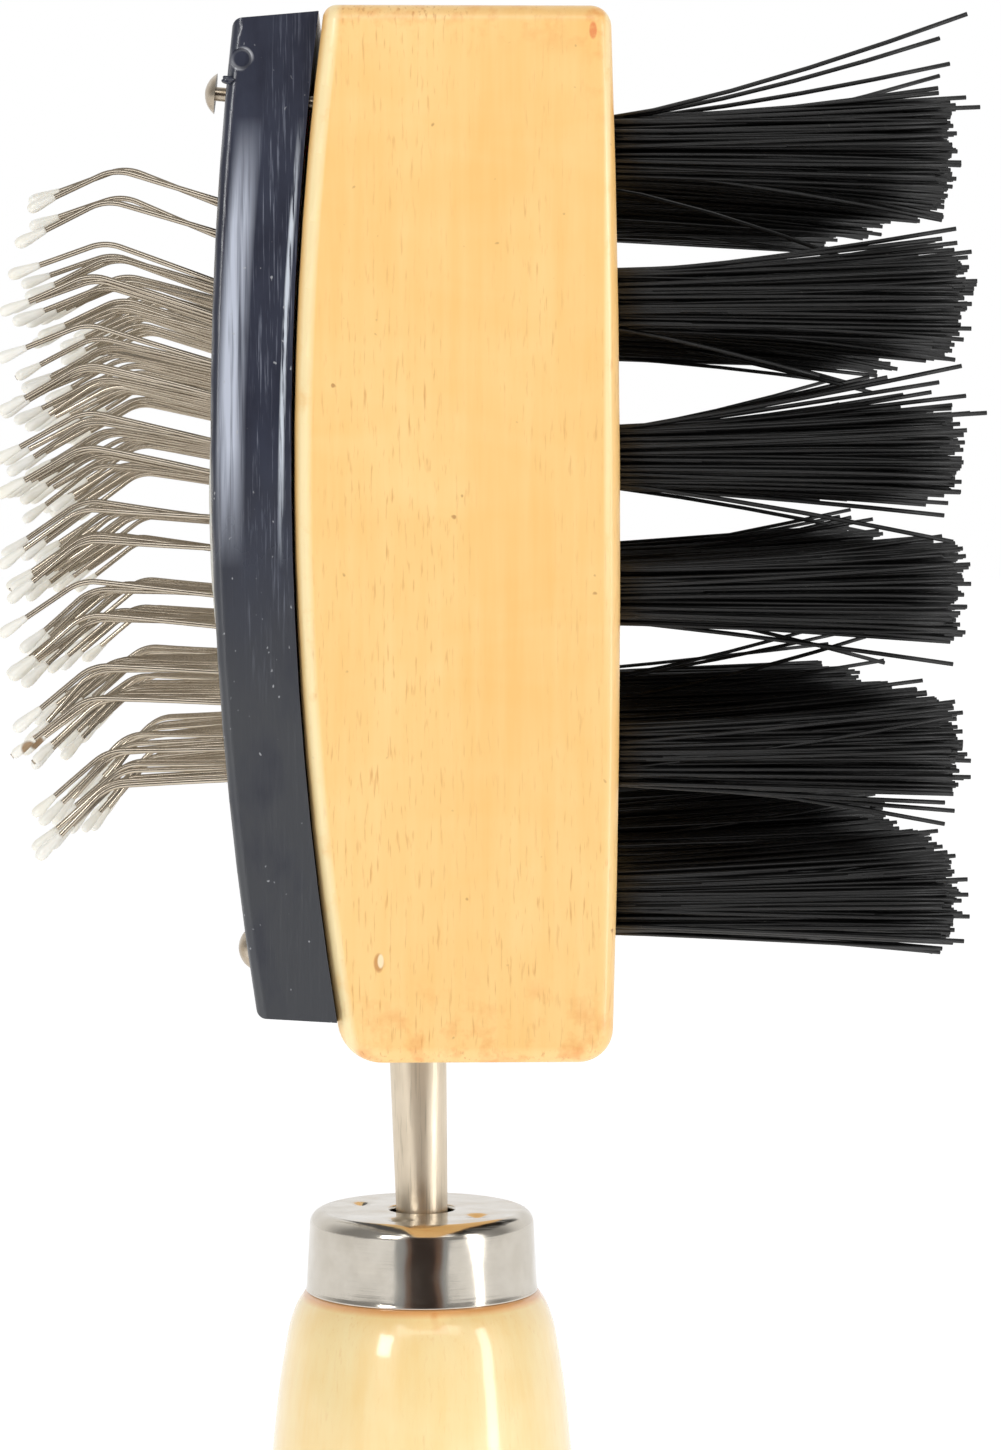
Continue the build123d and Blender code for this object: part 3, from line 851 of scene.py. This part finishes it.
def wall_loops(face_edge, edge_y, edge_z):
    """Loops down from the face's rim: the wall, the skirt under the lip, and the pocket's wall."""
    core = window_half - window_corner
    away = np.stack([
        np.sign(edge_y) * np.clip(np.abs(edge_y) - core[0], 0, None),
        np.sign(edge_z) * np.clip(np.abs(edge_z) - core[1], 0, None),
    ], -1)
    away /= np.linalg.norm(away, axis=-1, keepdims=True)
    frame_front = bulge(edge_z - 1.2 * mm, frame_crown) - frame_depth
    block_face = bulge(edge_z, block_crown) - 0.15 * mm
    skirt = np.maximum(frame_front + 1.35 * mm, face_edge + 0.5 * mm)
    loops = []
    for step, level in (
        (0.06, face_edge + 0.25 * mm), (0.0, skirt), (1.9, skirt), (2.0, skirt + 0.15 * mm),
        (2.0, block_face), (-1.45, block_face), (-1.45, block_face - 0.6 * mm),
    ):
        out_y = edge_y + away[:, 0] * step * mm
        out_z = edge_z + away[:, 1] * step * mm
        loops.append(np.stack([level, out_y, out_z], -1))
    return loops


def make_cushion():
    """A closed shell: the face's lattice, less a bell-curve dimple at each staple's leg, the
    loops down from its rim, and the lattice again, shrunk, behind it."""
    column_y, row_z = staple_lines()
    leg_z = np.concatenate([row_z - pin_spread / 2, row_z + pin_spread / 2])
    y_lines = between(column_y, window_half[0], 4)
    z_lines = between(leg_z, window_half[1], 3)
    flat_y, flat_z = np.meshgrid(y_lines, z_lines, indexing="ij")
    y, z = rounded_plan(flat_y, flat_z, window_half, window_corner)
    rim = np.ones(y.shape, bool)
    rim[1:-1, 1:-1] = False
    x = pad_face(y, z)
    to_leg_y = np.abs(y[..., None] - column_y).min(-1)
    to_leg_z = np.abs(z[..., None] - leg_z).min(-1)
    to_leg = np.hypot(to_leg_y, to_leg_z)
    pierced = to_leg < 0.05 * mm
    x = x + dimple_depth * np.exp(-((to_leg / dimple_radius) ** 2))
    face = np.stack([x, y, z], -1).reshape(-1, 3)
    grid = np.arange(x.size).reshape(x.shape)
    quads = np.stack([grid[:-1, :-1], grid[:-1, 1:], grid[1:, 1:], grid[1:, :-1]], -1)
    quads = quads.reshape(-1, 4)
    blown = inflate(face, quads, (rim | pierced).ravel())
    shift = blown - face
    length = np.linalg.norm(shift, axis=-1, keepdims=True)
    face = face + shift * np.minimum(1.0, most_blown / np.maximum(length, 1e-9))
    edge = np.concatenate([grid[:-1, 0], grid[-1, :-1], grid[:0:-1, -1], grid[0, :0:-1]])
    loops = wall_loops(face[edge, 0], y.ravel()[edge], z.ravel()[edge])
    pad_thickness, room_behind = 1.28 * mm, 0.5 * mm
    under = face.copy()
    under[:, 1:] *= (window_half - 1.4 * mm) / window_half
    pocket_floor = bulge(under[:, 2], block_crown) - room_behind
    under[:, 0] = np.minimum(face[:, 0] + pad_thickness, pocket_floor)
    rims = [len(face) + number * len(edge) + np.arange(len(edge)) for number in range(len(loops))]
    under_start = len(face) + len(loops) * len(edge)
    rims = [edge, *rims, under_start + edge]
    sides = [
        np.stack([before, np.roll(before, -1), np.roll(after, -1), after], -1)
        for before, after in zip(rims, rims[1:])
    ]
    points = on_seat(np.concatenate([face, *loops, under]))
    faces = [quads, *sides, under_start + quads[:, ::-1]]
    pad = build("cushion", points, faces, pad_finish(), ["cushion_pad"])


make_cushion()


# ---- cushion backing and foam ---------------------------------------------------------------
# Plain-woven cloth glued behind the rubber, and the open foam that fills the pad. The staples'
# crowns lie between the two. All of it is hidden inside the frame.


def backing_finish():
    finish = Finish("backing_cloth")
    weave = {"Vector": finish.place(), "Scale": 1.6}
    warp, weft = (finish.node("TexWave", {"bands_direction": way}, weave) for way in "YZ")
    cloth = warp * 0.5 + weft * 0.5
    finish.feed("Base Color", finish.mix(cloth, paint(176, 160, 132), paint(206, 192, 166)))
    finish.feed("Roughness", cloth * 0.1 + 0.8)
    finish.bump(cloth, 0.6, 0.08 * mm)
    return finish.material


def foam_finish():
    finish = Finish("pad_foam")
    cells = finish.node("TexVoronoi", None, {"Vector": finish.place(), "Scale": 2.2})
    finish.feed("Base Color", finish.mix(cells, paint(216, 200, 150), paint(236, 224, 184)))
    finish.feed("Roughness", cells * 0.2 + 0.8)
    finish.bump(cells, 0.5, 0.2 * mm)
    return finish.material


wear("pad_backing", backing_finish())
wear("foam_core", foam_finish())


# ---- pins and tips --------------------------------------------------------------------------
# Staples of bright drawn wire, pushed through the pad from behind, so that each gives two pins.
# A press bends all the pins at the knee towards the handle, and use has bent a few of them.
# Each wire's end is dipped in white enamel, which sets as a drop; one drop has lost a flake.
wire_radius = 0.165 * mm
pin_straight, pin_hook = 7.3 * mm, 5.7 * mm
crown_depth = 2.1 * mm
pin_lean = math.radians(8.4)
knee_turn = math.radians(42.0)
knee_radius, corner_radius = 2.6 * mm, 0.25 * mm
tip_length, tip_radius = 1.9 * mm, 0.36 * mm
# how far use has bent the near staple of each row, in degrees
near_leans = [-4.0, 3.0, 2.0, 3.0, -4.0, 3.0, 3.0, 1.0]


def wire_finish():
    finish = Finish("pin_wire", Metallic=1.0, Specular_Tint=(0.22, 0.18, 0.15, 1.0))
    cloud = finish.noise(finish.place((0.5, 0.5, 0.5)), 1.0, 3.0, 0.6)
    finish.feed("Base Color", finish.mix(cloud, paint(212, 202, 186), paint(168, 156, 138)))
    finish.feed("Roughness", cloud * 0.15 + 0.16)
    return finish.material


def enamel_finish():
    finish = Finish("white_enamel", Subsurface_Weight=0.1, Coat_Weight=0.4, Coat_Roughness=0.2)
    tone = finish.noise(finish.place((0.3, 0.3, 0.3)), 1.0, 3.0, 0.6)
    near_pins = finish.rise(finish.axis(1), -20.0, -21.0)
    chip = finish.spot(-23.3, block_low.z / mm + 17.9, 0.5, 0.5) * near_pins
    colour = finish.mix(tone, paint(250, 250, 248), paint(240, 234, 214))
    finish.feed("Base Color", finish.mix(chip, colour, paint(146, 116, 84)))
    finish.feed("Roughness", tone * 0.2 + 0.3)
    return finish.material


def staple_paths(chance, count):
    """Flat staples, tip to tip: the heading is the running sum of the turns, and x and z are the
    running sums of each step's length times the cosine and the sine of its heading."""
    knee = knee_turn + chance.normal(0, math.radians(2.5), (count, 2))
    straight = pin_straight * (1 + chance.normal(0, 0.035, (count, 2)))
    hook = pin_hook * (1 + chance.normal(0, 0.035, (count, 2)))
    bend = chance.normal(0, math.radians(1.5), (count, 2))
    quarter = math.pi / 2
    set_back = knee_radius * np.tan(knee / 2)
    inner = straight + crown_depth - set_back - corner_radius
    zero = np.zeros(count)
    corner = (4, zero + corner_radius * quarter, zero - quarter)
    # from tip to tip, each run's number of steps, its length and how far it turns
    runs = [
        (5, hook[:, 0] - set_back[:, 0], bend[:, 0]), (7, knee_radius * knee[:, 0], -knee[:, 0]),
        (6, inner[:, 0], -bend[:, 0]), corner, (2, zero + pin_spread - 2 * corner_radius, zero),
        corner, (6, inner[:, 1], bend[:, 1]), (7, knee_radius * knee[:, 1], knee[:, 1]),
        (5, hook[:, 1] - set_back[:, 1], -bend[:, 1]),
    ]
    steps = [number for number, length, turn in runs]
    lengths = np.repeat(np.stack([length / number for number, length, turn in runs], 1), steps, 1)
    turns = np.repeat(np.stack([turn / number for number, length, turn in runs], 1), steps, 1)
    heading = knee[:, :1] + np.cumsum(turns, 1) - turns / 2
    x = np.cumsum(lengths * np.cos(heading), 1)
    z = np.cumsum(lengths * np.sin(heading), 1)
    x = np.concatenate([zero[:, None], x], 1)
    z = np.concatenate([zero[:, None], z], 1)
    crown = sum(steps[:4]) + 1
    x += crown_depth - x[:, crown : crown + 1]
    z -= z[:, crown : crown + 1]
    out = np.clip(-x / pin_straight, 0, None)
    first_leg = np.arange(x.shape[1]) < crown
    sway = chance.normal(0, 0.35 * mm, (count, 2))
    y = out**1.5 * np.where(first_leg, sway[:, :1], sway[:, 1:])
    return np.stack([x, y, z], -1)


def make_pin_row(number, wire, enamel):
    """Staples turned about Y by their lean and set on the pad's face, with a drop at each end:
    rings of a girth that swells and closes along the wire."""
    chance = np.random.default_rng(70 + number)
    column_y, row_z = staple_lines()
    z = row_z[number - 1]
    count = top_row_columns if number == 1 else pin_columns
    staples = staple_paths(chance, count)
    bent = chance.normal(0, math.radians(1.1), count)
    bent[0] = math.radians(near_leans[number - 1])
    lean = (math.asin(z / pad_radius) + pin_lean + bent)[:, None]
    x_out = staples[..., 0] * np.cos(lean) + staples[..., 2] * np.sin(lean)
    z_out = staples[..., 2] * np.cos(lean) - staples[..., 0] * np.sin(lean)
    y_out = staples[..., 1] + column_y[:count, None]
    on_pad = bulge(z, pad_radius) - pad_crown
    paths = on_seat(np.stack([x_out + on_pad, y_out, z_out + z], -1))
    wire_sides = 8
    points = tubes(paths, wire_radius, wire_sides)
    faces = ring_faces(count, paths.shape[1], wire_sides)
    build(f"pins_{number}", points, faces, wire, [f"pin_row_{number}"])
    ends = np.concatenate([paths[:, 0], paths[:, -1]])
    inner = np.concatenate([paths[:, 2], paths[:, -3]])
    along = ends - inner
    along /= np.linalg.norm(along, axis=-1, keepdims=True)
    shape = np.array([0.0, 0.04, 0.2, 0.4, 0.58, 0.74, 0.87, 0.95, 0.99, 1.0])
    girth = np.array([0.45, 0.56, 0.66, 0.8, 0.93, 1.0, 0.92, 0.7, 0.38, 0.03])
    size = 1 + chance.normal(0, 0.06, (2 * count, 1))
    reach = (shape * size - 1) * tip_length + 0.2 * mm
    drops = ends[:, None] + reach[..., None] * along[:, None]
    tip_sides = 14
    points = tubes(drops, girth * size * tip_radius, tip_sides)
    faces = ring_faces(2 * count, len(shape), tip_sides)
    build(f"tips_{number}", points, faces, enamel, [f"pin_tips_{number}"])


bright_wire = wire_finish()
white_enamel = enamel_finish()
for number in range(1, pin_rows + 1):
    make_pin_row(number, bright_wire, white_enamel)
